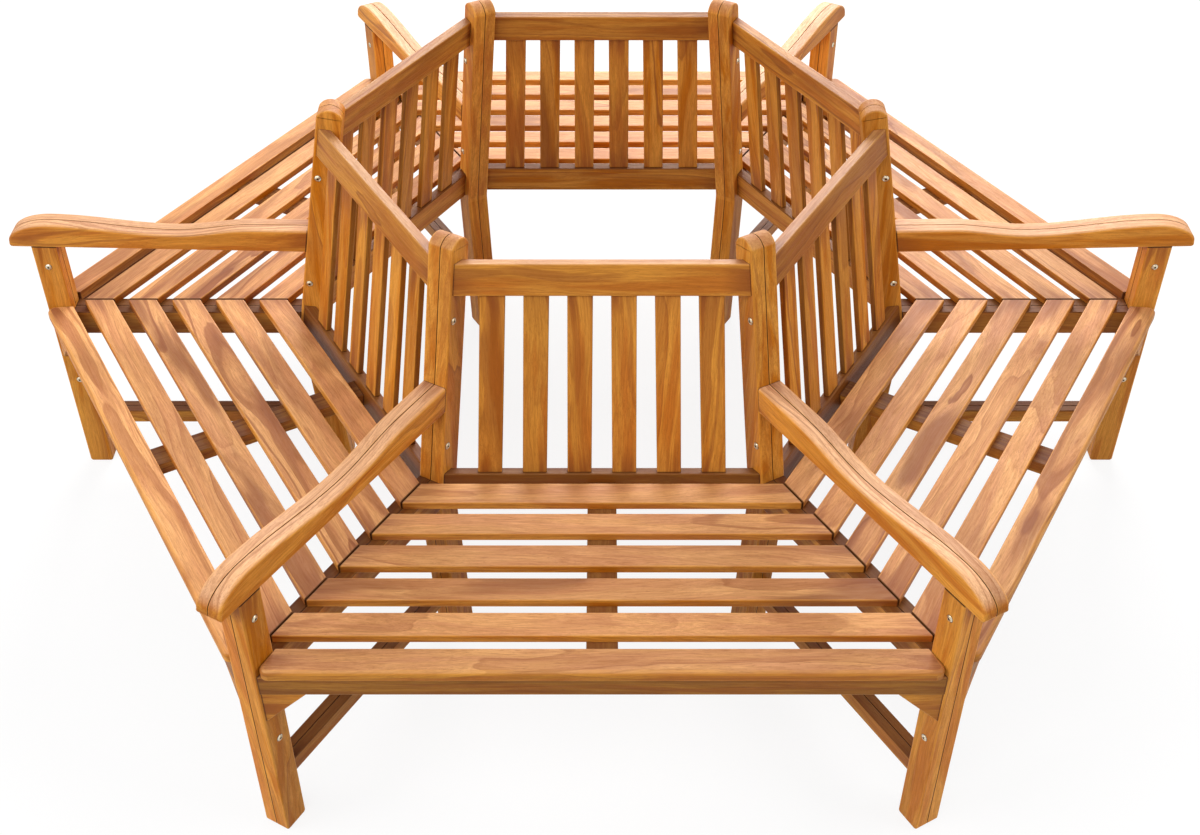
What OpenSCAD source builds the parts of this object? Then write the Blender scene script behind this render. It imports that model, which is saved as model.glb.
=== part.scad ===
// Hexagonal tree bench: six seats around a trunk, each on its own timber half frames.
// Millimetres. The origin is on the ground at the middle of the tree space, +Z is up.
// Seat 1 faces -Y and corner 1 points along +X. Both are numbered anticlockwise from above.

/* [Seat] */
// Height of the slats' top faces above the ground
seat_h = 430; // [400:5:470]
// Tree centre to the front edge of a front board, square to the board
seat_front = 1018; // [960:1:1100]
// Number of slats behind each front board
slat_count = 5; // [3:1:5]
// Width of a seat slat
slat_w = 52; // [40:1:56]
// Thickness of a seat slat
slat_t = 16; // [14:1:20]
// Open gap between two boards of the seat
slat_gap = 27; // [15:1:30]
// Gap between the slats of two seats along their mitre
mitre_gap = 2.5; // [1:0.5:6]
// Width of the front board
board_w = 52; // [45:1:60]
// Thickness of the front board
board_t = 20; // [18:1:26]
// Radius of the front board's corners, seen from above
board_corner_r = 14; // [6:1:18]
// Radius of the front board's upper front edge
board_nose_r = 7; // [3:1:9]
// Height of the apron under the front board
apron_h = 42; // [35:1:60]
// Thickness of the apron
apron_t = 20; // [16:1:24]
// Apron's face behind the front board's edge
apron_set_back = 7; // [4:1:12]
// Length of a corner bracket along the apron
bracket_l = 75; // [50:1:100]
// Drop of a corner bracket below the apron
bracket_drop = 70; // [45:1:90]
// Thickness of a corner bracket
bracket_t = 14; // [10:1:16]
// Bracket's face behind the apron's face
bracket_set_back = 2; // [1:0.5:3]

/* [Half frames] */
// Thickness of the half legs, half posts, half arms and side bearers
frame_t = 25; // [22:1:32]
// Open seam between the two halves of a corner
seam_gap = 0.3; // [0.2:0.1:0.5]
// Depth of a front leg, out from the tree
leg_d = 50; // [40:1:60]
// Leg's front face behind the corner of the front board
leg_set_back = 6; // [2:1:12]
// Depth of a back post, square to its lean
post_d = 50; // [40:1:53]
// Height of the back posts
post_h = 885; // [840:5:950]
// Radius of the rounded post head
head_r = 27; // [25.5:0.5:34]
// Lean of the posts above the seat frame, in degrees
back_lean = 10.5; // [6:0.5:14]
// Backward rake of the posts' lower part, in degrees
foot_rake = 4; // [0:0.5:6]
// Gap from the last slat to the edge of the posts at seat height
back_gap = 17; // [12:1:30]
// Height of the side bearers under the slats
bearer_h = 55; // [45:1:65]
// Width of the middle bearer
mid_bearer_w = 52; // [40:1:70]
// Thickness of the middle bearer
mid_bearer_t = 25; // [22:1:30]
// Thickness of a half stretcher
stretcher_t = 18; // [14:1:20]
// Height of a stretcher
stretcher_h = 32; // [26:1:45]
// Ground to the underside of the stretchers
stretcher_z = 108; // [80:1:160]

/* [Arms] */
// Ground to the arm's underside at the front leg
arm_h = 577; // [550:1:620]
// Upward tilt of the arm towards its tip, in degrees
arm_rise = 1.4; // [0:0.1:3]
// Arm's tip beyond the leg's front face
arm_reach = 42; // [20:1:60]
// Height of the arm at the post
arm_back_h = 49; // [44:1:60]
// Height of the arm at its lowest place
arm_dip_h = 33; // [28:1:42]
// Height of the arm over the leg
arm_crest_h = 51; // [46:1:64]
// Height of the blunt tip below the round nose
arm_tip_h = 10; // [8:1:16]
// Radius of the tip's lower edge
arm_tip_r = 6; // [3:1:7]
// Lowest place of the arm behind the leg's front face
arm_dip_back = 290; // [240:5:330]
// Length of the curve that falls from the back to the dip
arm_fall_l = 165; // [100:5:170]
// Highest place of the arm behind the leg's front face
arm_crest_back = 40; // [20:1:80]

/* [Backs] */
// Thickness of the back rails
rail_t = 22; // [20:1:26]
// Rail's face behind the posts' edge
rail_recess = 5; // [2:1:8]
// Height of the top rail
top_rail_h = 60; // [45:1:80]
// Post head above the top rail
rail_drop = 37; // [30:1:50]
// Height of the lower rail
lower_rail_h = 65; // [58:1:66]
// Lower rail's top edge above the seat
lower_rail_rise = 3; // [0:1:6]
// Number of slats in a back
back_slat_count = 6; // [4:1:7]
// Width of a back slat
back_slat_w = 44; // [30:1:50]
// Thickness of a back slat
back_slat_t = 12; // [9:1:14]
// Gap from a post to the first back slat at the lower rail
end_gap_low = 64; // [30:1:80]
// Gap from a post to the first back slat at the top rail
end_gap_high = 49; // [20:1:60]

/* [Joints] */
// Thickness of the tenons inside a half frame
tenon_t = 8; // [6:0.5:9]
// Tenon's face from the seam between two half frames
tenon_in = 3; // [2:0.5:4]
// Length of the tenons inside a half frame
tenon_l = 20; // [12:1:24]
// Shoulder above and below a tenon
shoulder = 8; // [5:0.5:9]
// Length of the tenons that enter a half frame from its side
side_tenon_l = 12; // [8:0.5:13]
// Thickness of the tenons that enter a half frame from its side
side_tenon_t = 9; // [7:0.5:10]
// Apron tenon's face from the apron's back face
apron_tenon_in = 2; // [1:0.5:4]
// Depth to which a back slat is let into a rail
slat_housing = 10; // [6:0.5:12]
// Clearance all round a tenon
fit_gap = 0.2; // [0.1:0.05:0.4]

/* [Fasteners] */
// Diameter of the corner bolts' shanks
bolt_d = 6; // [5:0.5:8]
// Diameter of the domed heads
head_d = 14; // [13:0.5:16]
// Height of the domed heads
head_h = 3; // [2:0.5:4]
// Width across the flats of the hexagon socket
socket_w = 4; // [3:0.5:5]
// Outer diameter of the sleeve nuts
sleeve_d = 9; // [8.5:0.5:11]
// Length of the sleeve nuts' shanks
sleeve_l = 18; // [14:1:20]
// Radial clearance of bolts, sleeves and screws in their holes
hole_gap = 0.25; // [0.1:0.05:0.5]
// Post's bolts behind the outer face of the post
post_bolt_in = 13; // [11:0.5:25]
// Post's upper bolt below the top of the post
post_bolt_drop = 148; // [115:1:200]
// Post's lower bolt above the seat
post_bolt_rise = 57; // [35:1:80]
// Leg's upper bolt below the arm
leg_bolt_drop = 49; // [35:1:80]
// Leg's lower bolt below the apron brackets
bracket_bolt_drop = 64; // [30:1:100]
// Diameter of the slat screws' shanks
screw_d = 4; // [3.5:0.5:5]
// Diameter of the slat screws' heads
screw_head_d = 8; // [7:0.5:9]
// Height of the slat screws' heads
screw_head_h = 2.5; // [2:0.5:3]
// Depth to which a screw enters a slat or board
screw_bite = 11; // [8:0.5:12]
// First board screw from the middle of the apron
board_screw_in = 150; // [100:5:250]
// Second board screw from the middle of the apron
board_screw_out = 400; // [300:5:450]

/* [Hidden] */
$fn = 48;
sides = 6;
half_angle = 180 / sides;
teak = [0.77, 0.53, 0.29];
steel = [0.72, 0.68, 0.6];

// How far a cut runs past a face.
cut = 1;

// Points along each curve of an arm or a post head, and degrees between the points of an arc.
curve_n = 10;
arc_step = 15;

// Names of the pieces that repeat, then of the pieces that share a node.
SEAT_NODES = ["front_board", "seat_slats", "front_apron", "top_rail", "lower_rail", "back_slats"];
CORNER_NODES = ["front_legs", "back_posts", "arms"];
GROUP_NODES = ["apron_brackets", "seat_bearers", "leg_stretchers",
               "corner_bolts", "sleeve_nuts", "slat_screws"];

// Seat: a slat's inner and outer edges lie at these distances from the tree centre.
slat_pitch = slat_w + slat_gap;
board_in = seat_front - board_w;
function slat_out(k) = board_in - slat_gap - k * slat_pitch;
function slat_mid(k) = slat_out(k) - slat_w / 2;
seat_in = slat_out(slat_count - 1) - slat_w;
slat_z = seat_h - slat_t;
board_z = seat_h - board_t;
apron_out = seat_front - apron_set_back;
apron_in = apron_out - apron_t;
apron_tenon_x = apron_in + apron_tenon_in;
apron_z = board_z - apron_h;
bearer_z = slat_z - bearer_h;
mid_bearer_z = slat_z - mid_bearer_t;

// Where a line at this distance from the centre stands beside a corner plane:
// its radius at a tangential offset, and its half length between two such planes.
function radius_at(apothem, offset) = (apothem - offset * sin(half_angle)) / cos(half_angle);
function half_length(apothem, offset) = (apothem * sin(half_angle) - offset) / cos(half_angle);

// Half frames: radii of the leg's and the post's faces.
leg_out = radius_at(seat_front, frame_t) - leg_set_back;
leg_in = leg_out - leg_d;
leg_mid = leg_out - leg_d / 2;
knee_z = bearer_z;
post_edge = seat_in - back_gap;
post_out = radius_at(post_edge, frame_t);
post_across = post_d / cos(back_lean);
function lean_r(z) = post_out - (z - seat_h) * tan(back_lean);
function post_r(z) = z >= knee_z ? lean_r(z) : lean_r(knee_z) - (knee_z - z) * tan(foot_rake);
function post_mid(z) = post_r(z) - post_across / 2;
head_z = post_h - head_r;
head_half = asin(post_d / 2 / head_r);
head_turns = [for (i = [0:curve_n]) head_half * (1 - 2 * i / curve_n)];

// Arms: the underside is a straight tilted line, and the height above it varies.
arm_tip = leg_out + arm_reach;
arm_dip = leg_out - arm_dip_back;
arm_fall = arm_dip - arm_fall_l;
arm_crest = leg_out - arm_crest_back;
function arm_under(r) = arm_h + (r - leg_out) * tan(arm_rise);
function ease(a, b, u) = a + (b - a) * (1 - cos(180 * u)) / 2;
function nose(u) = arm_tip_h + (arm_crest_h - arm_tip_h) * sqrt(1 - u * u);

// Backs: the leaning frame of a back panel starts on the posts' edges at seat height.
panel_lean = atan(tan(back_lean) * cos(half_angle));
function up_panel(z) = (z - seat_h) / cos(panel_lean);
top_rail_top = up_panel(post_h - rail_drop);
top_rail_low = top_rail_top - top_rail_h;
lower_rail_top = up_panel(seat_h + lower_rail_rise);
lower_rail_low = lower_rail_top - lower_rail_h;
back_slat_x = -rail_recess - (rail_t + back_slat_t) / 2;
function panel_half(w) = half_length(post_edge - w * sin(panel_lean), frame_t);
slat_span_low = panel_half(lower_rail_top) - end_gap_low - back_slat_w / 2;
slat_span_high = panel_half(top_rail_low) - end_gap_high - back_slat_w / 2;
function spread(i) = 2 * i / (back_slat_count - 1) - 1;
mid_bearer_back = post_edge - (mid_bearer_z - seat_h) * tan(panel_lean) - rail_recess;
mid_tenon_w = mid_bearer_w - 2 * shoulder;

// Fasteners
post_bolt_high = post_h - post_bolt_drop;
post_bolt_low = seat_h + post_bolt_rise;
leg_bolt_high = arm_h - leg_bolt_drop;
leg_bolt_low = apron_z - bracket_drop - bracket_bolt_drop;
dome_r = (head_d * head_d / 4 + head_h * head_h) / (2 * head_h);
hexagon = 6;
bolt_end = sleeve_l / 2;
screw_grip = mid_bearer_t;
screw_l = screw_grip + screw_bite;

module at_seat(i) {
    rotate([0, 0, 270 + 360 / sides * (i - 1)]) children();
}

module at_corner(i) {
    rotate([0, 0, 360 / sides * (i - 1)]) children();
}

// Both halves of a corner: the first lies on the positive side of the seam.
module both_halves() {
    children();
    mirror([0, 1, 0]) children();
}

// A plate with an outline in radius and height, between two tangential offsets.
module plate(from, to) {
    translate([0, to, 0]) rotate([90, 0, 0]) linear_extrude(to - from) children();
}

// A box between two opposite corners.
module block(low, high) {
    translate(low) cube(high - low);
}

// The wedge of space between two half frames, out to the given side offset.
module bay(offset) {
    far = 2 * seat_front;
    linear_extrude(post_h) polygon([
        [offset / sin(half_angle), 0],
        [far, -half_length(far, offset)],
        [far, half_length(far, offset)]
    ]);
}

// The leaning frame of a back panel: X outward, Z up the panel.
module in_panel() {
    translate([post_edge, 0, seat_h]) rotate([0, -panel_lean, 0]) children();
}

// ---- front board, slats, apron and brackets, in a seat's own frame ----

// One rounded front corner of the board, as points from the front edge round to its end.
board_corner = [
    for (a = [0:arc_step:90 + half_angle])
        [seat_front - board_corner_r + board_corner_r * cos(a),
         half_length(seat_front - board_corner_r, frame_t + board_corner_r) + board_corner_r * sin(a)]
];

module board_plan() {
    back_half = half_length(board_in, frame_t);
    linear_extrude(board_t) polygon(concat(
        [[board_in, -back_half]],
        [for (i = [len(board_corner) - 1:-1:0]) [board_corner[i][0], -board_corner[i][1]]],
        board_corner,
        [[board_in, back_half]]
    ));
}

module board_section() {
    plate(-seat_front, seat_front) polygon(concat(
        [[board_in, 0], [seat_front, 0]],
        [for (a = [0:arc_step:90]) [seat_front - board_nose_r + board_nose_r * cos(a),
                              board_t - board_nose_r + board_nose_r * sin(a)]],
        [[board_in, board_t]]
    ));
}

module board_screw_places() {
    for (y = [board_screw_in, board_screw_out], s = [-1, 1]) {
        translate([(apron_in + apron_out) / 2, s * y, board_z]) children();
    }
}

module front_board() {
    color(teak) difference() {
        translate([0, 0, board_z]) intersection() {
            board_plan();
            board_section();
        }
        board_screw_places() screw(hole_gap);
    }
}

module slat_screw_places() {
    for (k = [0:slat_count - 1], s = [-1, 0, 1]) {
        translate([slat_mid(k), s * half_length(slat_mid(k), frame_t / 2), slat_z]) children();
    }
}

module seat_slats() {
    end = mitre_gap / 2;
    color(teak) difference() {
        for (k = [0:slat_count - 1]) {
            out = slat_out(k);
            in = out - slat_w;
            translate([0, 0, slat_z]) linear_extrude(slat_t) polygon([
                [in, -half_length(in, end)], [out, -half_length(out, end)],
                [out, half_length(out, end)], [in, half_length(in, end)]
            ]);
        }
        slat_screw_places() screw(hole_gap);
    }
}

module apron_tenons(gap) {
    intersection() {
        bay(frame_t - side_tenon_l - gap);
        block([apron_tenon_x - gap, -seat_front, apron_z + shoulder - gap],
              [apron_tenon_x + side_tenon_t + gap, seat_front, board_z - shoulder + gap]);
    }
}

module front_apron() {
    color(teak) difference() {
        union() {
            intersection() {
                bay(frame_t);
                block([apron_in, -seat_front, apron_z], [apron_out, seat_front, board_z]);
            }
            apron_tenons(0);
        }
        mid_bearer_tenons(fit_gap);
        board_screw_places() screw(hole_gap);
    }
}

module apron_bracket() {
    face = apron_out - bracket_set_back;
    end = half_length(face, frame_t);
    intersection() {
        bay(frame_t);
        translate([face - bracket_t, 0, 0]) rotate([90, 0, 90]) linear_extrude(bracket_t) polygon([
            [end, apron_z], [end - bracket_l, apron_z], [end, apron_z - bracket_drop]
        ]);
    }
}

module apron_brackets() {
    color(teak) for (i = [1:sides]) at_seat(i) both_halves() apron_bracket();
}

// ---- back panel, in a seat's own frame ----

module rail_blank(low, high) {
    intersection() {
        bay(frame_t);
        in_panel() block([-rail_recess - rail_t, -post_edge, low], [-rail_recess, post_edge, high]);
    }
}

module rail_tenons(low, high, gap) {
    inset = (rail_t - side_tenon_t) / 2;
    intersection() {
        bay(frame_t - side_tenon_l - gap);
        in_panel() block(
            [-rail_recess - rail_t + inset - gap, -post_edge, low + shoulder - gap],
            [-rail_recess - inset + gap, post_edge, high - shoulder + gap]
        );
    }
}

// One back slat with both ends inside the rails, or the housing cut for it.
module back_slat(i, gap) {
    half = back_slat_w / 2 + gap;
    low = lower_rail_top - slat_housing - gap;
    high = top_rail_low + slat_housing + gap;
    side = spread(i);
    in_panel() translate([back_slat_x - gap, 0, 0]) rotate([90, 0, 90])
        linear_extrude(back_slat_t + 2 * gap) polygon([
            [side * slat_span_low - half, low], [side * slat_span_low + half, low],
            [side * slat_span_high + half, high], [side * slat_span_high - half, high]
        ]);
}

module top_rail() {
    color(teak) difference() {
        union() {
            rail_blank(top_rail_low, top_rail_top);
            rail_tenons(top_rail_low, top_rail_top, 0);
        }
        for (i = [0:back_slat_count - 1]) back_slat(i, fit_gap);
    }
}

module lower_rail() {
    color(teak) difference() {
        union() {
            rail_blank(lower_rail_low, lower_rail_top);
            rail_tenons(lower_rail_low, lower_rail_top, 0);
        }
        for (i = [0:back_slat_count - 1]) back_slat(i, fit_gap);
        mid_bearer_tenons(fit_gap);
    }
}

module back_slats() {
    color(teak) for (i = [0:back_slat_count - 1]) back_slat(i, 0);
}

// ---- half frame pieces, in a corner's own frame, on the positive side of the seam ----

module leg_blank() {
    plate(seam_gap / 2, frame_t) polygon([
        [leg_in, 0], [leg_out, 0], [leg_out, arm_under(leg_out)], [leg_in, arm_under(leg_in)]
    ]);
}

module post_blank() {
    centre = [post_mid(head_z), head_z];
    plate(seam_gap / 2, frame_t) polygon(concat(
        [[post_r(0), 0], [post_r(knee_z), knee_z]],
        [for (b = head_turns)
            centre + head_r * [sin(b) * cos(back_lean) - cos(b) * sin(back_lean),
                               sin(b) * sin(back_lean) + cos(b) * cos(back_lean)]],
        [[post_r(knee_z) - post_across, knee_z], [post_r(0) - post_across, 0]]
    ));
}

// The arm's upper edge from the post to the nose, as points in radius and height.
arm_upper = concat(
    [[post_mid(arm_h), arm_back_h]],
    [for (i = [0:curve_n]) [arm_fall + arm_fall_l * i / curve_n,
                            ease(arm_back_h, arm_dip_h, i / curve_n)]],
    [for (i = [1:curve_n]) [arm_dip + (arm_crest - arm_dip) * i / curve_n,
                            ease(arm_dip_h, arm_crest_h, i / curve_n)]],
    [for (i = [1:curve_n]) [arm_crest + (arm_tip - arm_crest) * sin(90 * i / curve_n),
                            nose(sin(90 * i / curve_n))]]
);

module arm_blank() {
    back = post_mid(arm_h);
    tip_corner = [for (a = [0:-arc_step:-90]) [arm_tip - arm_tip_r + arm_tip_r * cos(a),
                                         arm_tip_r + arm_tip_r * sin(a)]];
    difference() {
        plate(seam_gap / 2, frame_t) polygon(concat(
            [for (p = arm_upper) [p[0], arm_under(p[0]) + p[1]]],
            [for (p = tip_corner) [p[0], arm_under(p[0]) + p[1]]],
            [[back, arm_under(back)]]
        ));
        post_blank();
    }
}

// Tenon from the top of a half leg into its arm.
module leg_tenon(gap) {
    block([leg_in + shoulder - gap, tenon_in - gap, arm_under(leg_in) - shoulder],
          [leg_out - shoulder + gap, tenon_in + tenon_t + gap, arm_under(leg_in) + tenon_l + gap]);
}

// Tenon from the back of a half arm into its post.
module arm_tenon(gap) {
    face = post_r(arm_under(post_out) + arm_back_h / 2);
    block([face - tenon_l - gap, tenon_in - gap, arm_under(post_out) + shoulder - gap],
          [face + shoulder, tenon_in + tenon_t + gap, arm_under(post_out) + arm_back_h - shoulder + gap]);
}

// Tenons at both ends of a level piece between leg and post.
module level_tenons(low, high, gap) {
    block([leg_in - shoulder, tenon_in - gap, low + shoulder - gap],
          [leg_in + tenon_l + gap, tenon_in + tenon_t + gap, high - shoulder + gap]);
    block([post_r((low + high) / 2) - tenon_l - gap, tenon_in - gap, low + shoulder - gap],
          [post_r((low + high) / 2) + shoulder, tenon_in + tenon_t + gap, high - shoulder + gap]);
}

// A level piece cut to fit between leg and post, with its tenons.
module level_piece(width, low, high) {
    difference() {
        block([post_mid(low), seam_gap / 2, low], [leg_in, width, high]);
        post_blank();
    }
    level_tenons(low, high, 0);
}

// Places of the four corner bolts, with their axes along the tangent.
module bolt_places() {
    for (p = [[leg_mid, leg_bolt_high], [leg_mid, leg_bolt_low],
              [post_r(post_bolt_high) - post_bolt_in, post_bolt_high],
              [post_r(post_bolt_low) - post_bolt_in, post_bolt_low]]) {
        translate([p[0], 0, p[1]]) rotate([-90, 0, 0]) children();
    }
}

module bolt_hole() {
    translate([0, 0, -frame_t - cut]) {
        cylinder(h = 2 * (frame_t + cut), d = bolt_d + 2 * hole_gap);
        cylinder(h = sleeve_l + cut + hole_gap, d = sleeve_d + 2 * hole_gap);
    }
}

module half_leg() {
    difference() {
        union() {
            leg_blank();
            leg_tenon(0);
        }
        level_tenons(bearer_z, slat_z, fit_gap);
        level_tenons(stretcher_z, stretcher_z + stretcher_h, fit_gap);
        rotate([0, 0, half_angle]) apron_tenons(fit_gap);
    }
}

module half_post() {
    difference() {
        post_blank();
        arm_tenon(fit_gap);
        level_tenons(bearer_z, slat_z, fit_gap);
        level_tenons(stretcher_z, stretcher_z + stretcher_h, fit_gap);
        rotate([0, 0, half_angle]) rail_tenons(top_rail_low, top_rail_top, fit_gap);
        rotate([0, 0, half_angle]) rail_tenons(lower_rail_low, lower_rail_top, fit_gap);
    }
}

module half_arm() {
    difference() {
        union() {
            arm_blank();
            arm_tenon(0);
        }
        leg_tenon(fit_gap);
    }
}

module front_legs() {
    color(teak) difference() {
        both_halves() half_leg();
        bolt_places() bolt_hole();
    }
}

module back_posts() {
    color(teak) difference() {
        both_halves() half_post();
        bolt_places() bolt_hole();
    }
}

module arms() {
    color(teak) both_halves() half_arm();
}

// ---- pieces that share a node ----

module side_bearer() {
    difference() {
        level_piece(frame_t, bearer_z, slat_z);
        rotate([0, 0, half_angle]) slat_screw_places() screw(hole_gap);
    }
}

module mid_bearer_tenons(gap) {
    low = mid_bearer_z + (mid_bearer_t - tenon_t) / 2;
    for (x = [[mid_bearer_back - side_tenon_l - gap, mid_bearer_back + shoulder],
              [apron_in - shoulder, apron_in + side_tenon_l + gap]]) {
        block([x[0], -mid_tenon_w / 2 - gap, low - gap], [x[1], mid_tenon_w / 2 + gap, low + tenon_t + gap]);
    }
}

module mid_bearer() {
    half = mid_bearer_w / 2;
    difference() {
        union() {
            difference() {
                block([mid_bearer_back - rail_t / 2, -half, mid_bearer_z], [apron_in, half, slat_z]);
                rail_blank(lower_rail_low, lower_rail_top);
                block([board_in - fit_gap, -half - cut, board_z], [apron_in + cut, half + cut, slat_z + cut]);
            }
            mid_bearer_tenons(0);
        }
        slat_screw_places() screw(hole_gap);
    }
}

module seat_bearers() {
    color(teak) for (i = [1:sides]) {
        at_corner(i) both_halves() side_bearer();
        at_seat(i) mid_bearer();
    }
}

module leg_stretchers() {
    color(teak) for (i = [1:sides]) at_corner(i) both_halves() {
        level_piece(stretcher_t, stretcher_z, stretcher_z + stretcher_h);
    }
}

// A shallow domed head that stands on the plane z = 0.
module dome() {
    intersection() {
        translate([0, 0, head_h - dome_r]) sphere(dome_r);
        cylinder(h = head_h, d = head_d);
    }
}

module corner_bolt() {
    translate([0, 0, frame_t]) mirror([0, 0, 1]) cylinder(h = 2 * frame_t - bolt_end, d = bolt_d);
    translate([0, 0, frame_t]) difference() {
        dome();
        translate([0, 0, head_h / 2]) cylinder(h = head_h, d = socket_w / cos(180 / hexagon), $fn = hexagon);
    }
}

module sleeve_nut() {
    difference() {
        translate([0, 0, -frame_t]) cylinder(h = sleeve_l, d = sleeve_d);
        translate([0, 0, bolt_end - frame_t - hole_gap]) cylinder(h = sleeve_l, d = bolt_d + 2 * hole_gap);
    }
    translate([0, 0, -frame_t]) mirror([0, 0, 1]) dome();
}

module corner_bolts() {
    color(steel) for (i = [1:sides]) at_corner(i) bolt_places() corner_bolt();
}

module sleeve_nuts() {
    color(steel) for (i = [1:sides]) at_corner(i) bolt_places() sleeve_nut();
}

// A screw driven up from below, with z = 0 on the underside of what it holds.
// With a gap it is the hole for the screw, open to the ground.
module screw(gap) {
    under = gap > 0 ? seat_h / 2 : screw_head_h;
    translate([0, 0, -screw_grip - under]) {
        cylinder(h = under + screw_l + gap, d = screw_d + 2 * gap);
        cylinder(h = under, d = screw_head_d + 2 * gap);
    }
}

module slat_screws() {
    color(steel) for (i = [1:sides]) at_seat(i) {
        slat_screw_places() screw(0);
        board_screw_places() screw(0);
    }
}

for (i = [1:sides]) {
    at_seat(i) front_board();
    at_seat(i) seat_slats();
    at_seat(i) front_apron();
    at_seat(i) top_rail();
    at_seat(i) lower_rail();
    at_seat(i) back_slats();
    at_corner(i) front_legs();
    at_corner(i) back_posts();
    at_corner(i) arms();
}
apron_brackets();
seat_bearers();
leg_stretchers();
corner_bolts();
sleeve_nuts();
slat_screws();
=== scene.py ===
"""Looks of a hexagonal tree bench in oiled teak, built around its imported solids.

Metres, +Z up, the origin on the ground at the middle of the tree space. Seat 1 faces -Y and
corner 1 points along +X; both are numbered anticlockwise from above.
"""

from math import atan, cos, pi, radians, sin, tan

import bpy
import numpy as np
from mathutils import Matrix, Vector


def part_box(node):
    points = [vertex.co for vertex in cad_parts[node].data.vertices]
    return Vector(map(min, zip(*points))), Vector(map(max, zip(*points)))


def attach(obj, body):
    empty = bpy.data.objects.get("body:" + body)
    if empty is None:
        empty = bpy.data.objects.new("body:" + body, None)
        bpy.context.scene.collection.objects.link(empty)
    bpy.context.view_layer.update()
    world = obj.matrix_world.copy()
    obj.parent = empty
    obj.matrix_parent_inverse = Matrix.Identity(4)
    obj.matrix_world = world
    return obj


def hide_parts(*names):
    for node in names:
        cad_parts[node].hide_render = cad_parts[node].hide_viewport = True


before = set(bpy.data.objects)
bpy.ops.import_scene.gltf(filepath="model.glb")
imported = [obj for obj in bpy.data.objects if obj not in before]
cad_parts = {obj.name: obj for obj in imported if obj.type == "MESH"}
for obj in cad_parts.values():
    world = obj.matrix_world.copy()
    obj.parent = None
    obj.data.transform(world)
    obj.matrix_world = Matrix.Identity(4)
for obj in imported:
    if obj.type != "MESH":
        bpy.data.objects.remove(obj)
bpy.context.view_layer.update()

# ---- sizes -------------------------------------------------------------------------------

MM = 0.001

# The seats and corners by number, half the angle between two corners, and a corner's two sides.
SIDES = 6
EACH = range(1, SIDES + 1)
HALF = pi / SIDES
BOTH = (1, -1)


def low_high(node):
    """Lowest and highest corner of a solid's node."""
    low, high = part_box(node)
    return np.array(low), np.array(high)


board_low, board_high = low_high("front_board_1")
slats_low, slats_high = low_high("seat_slats_1")
apron_low, apron_high = low_high("front_apron_1")
legs_low = low_high("front_legs_1")[0]
posts_high = low_high("back_posts_1")[1]
stretchers_low, stretchers_high = low_high("leg_stretchers")

# The seat: distances from the tree's centre, and heights.
SEAT_FRONT, BOARD_IN = -board_low[1], -board_high[1]
BOARD_LOW, SEAT_TOP = board_low[2], board_high[2]
SLAT_OUT, SEAT_IN, SLAT_LOW = -slats_low[1], -slats_high[1], slats_low[2]
APRON_OUT, APRON_IN, APRON_LOW = -apron_low[1], -apron_high[1], apron_low[2]
SLAT_COUNT = 5
SLAT_WIDTH = 52 * MM
SLAT_PITCH = (SLAT_OUT - SEAT_IN - SLAT_WIDTH) / (SLAT_COUNT - 1)
MITRE_GAP = 2.5 * MM
BOARD_CORNER = 14 * MM
BOARD_NOSE = 7 * MM
BRACKET_LENGTH, BRACKET_DROP, BRACKET_THICK, BRACKET_BACK = 75 * MM, 70 * MM, 14 * MM, 2 * MM
MID_BEARER_WIDTH, MID_BEARER_THICK, NOTCH_GAP = 52 * MM, 25 * MM, 0.2 * MM
BEARER_HEIGHT = 55 * MM

# The half frames: radii from the tree's centre at a corner.
FRAME_THICK = posts_high[1]
SEAM = 0.15 * MM
ARM_RISE = radians(1.4)
LEG_DEPTH = 50 * MM
LEG_IN = legs_low[0]
LEG_OUT = LEG_IN + LEG_DEPTH
POST_TOP = posts_high[2]
POST_DEPTH = 50 * MM
HEAD_RADIUS = 27 * MM
LEAN, RAKE = radians(10.5), radians(4)
BACK_GAP = 17 * MM
STRETCHER_LOW, STRETCHER_HIGH = stretchers_low[2], stretchers_high[2]
STRETCHER_THICK = 18 * MM

# The arms: heights above the underside, and places behind or beyond the leg's front face.
ARM_UNDER = 577 * MM
ARM_REACH = 42 * MM
ARM_BACK, ARM_DIP, ARM_CREST, ARM_TIP = 49 * MM, 33 * MM, 51 * MM, 10 * MM
ARM_TIP_RADIUS = 6 * MM
ARM_DIP_PLACE, ARM_FALL, ARM_CREST_PLACE = 290 * MM, 165 * MM, 40 * MM

# The backs.
RAIL_THICK, RAIL_RECESS = 22 * MM, 5 * MM
TOP_RAIL_HEIGHT, TOP_RAIL_DROP = 60 * MM, 37 * MM
LOWER_RAIL_HEIGHT, LOWER_RAIL_RISE = 65 * MM, 3 * MM
BACK_SLAT_COUNT = 6
BACK_SLAT_WIDTH, BACK_SLAT_THICK, HOUSING = 44 * MM, 12 * MM, 10 * MM
END_GAP_LOW, END_GAP_HIGH = 64 * MM, 49 * MM

# The fasteners.
BOLT_RADIUS, SLEEVE_RADIUS, SLEEVE_LENGTH = 3 * MM, 4.5 * MM, 18 * MM
HEAD_WIDTH, HEAD_HEIGHT, SOCKET_WIDTH = 14 * MM, 3 * MM, 4 * MM
POST_BOLTS, POST_BOLT_IN = (737 * MM, 487 * MM), 13 * MM
LEG_BOLTS = (528 * MM, 234 * MM)

# Points on each quarter round, on a wave of an arm, on a post's arched head, and on the dome
# and one turn of a bolt.
ROUND_POINTS, WAVE_POINTS, HEAD_POINTS = 6, 16, 20
DOME_POINTS, TURN_POINTS = 8, 24

# The narrow flat beside a rounding, which keeps faces flat, and the angle of a sharp edge.
GUARD = 0.5 * MM
SHARP_ANGLE = radians(38)

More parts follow.
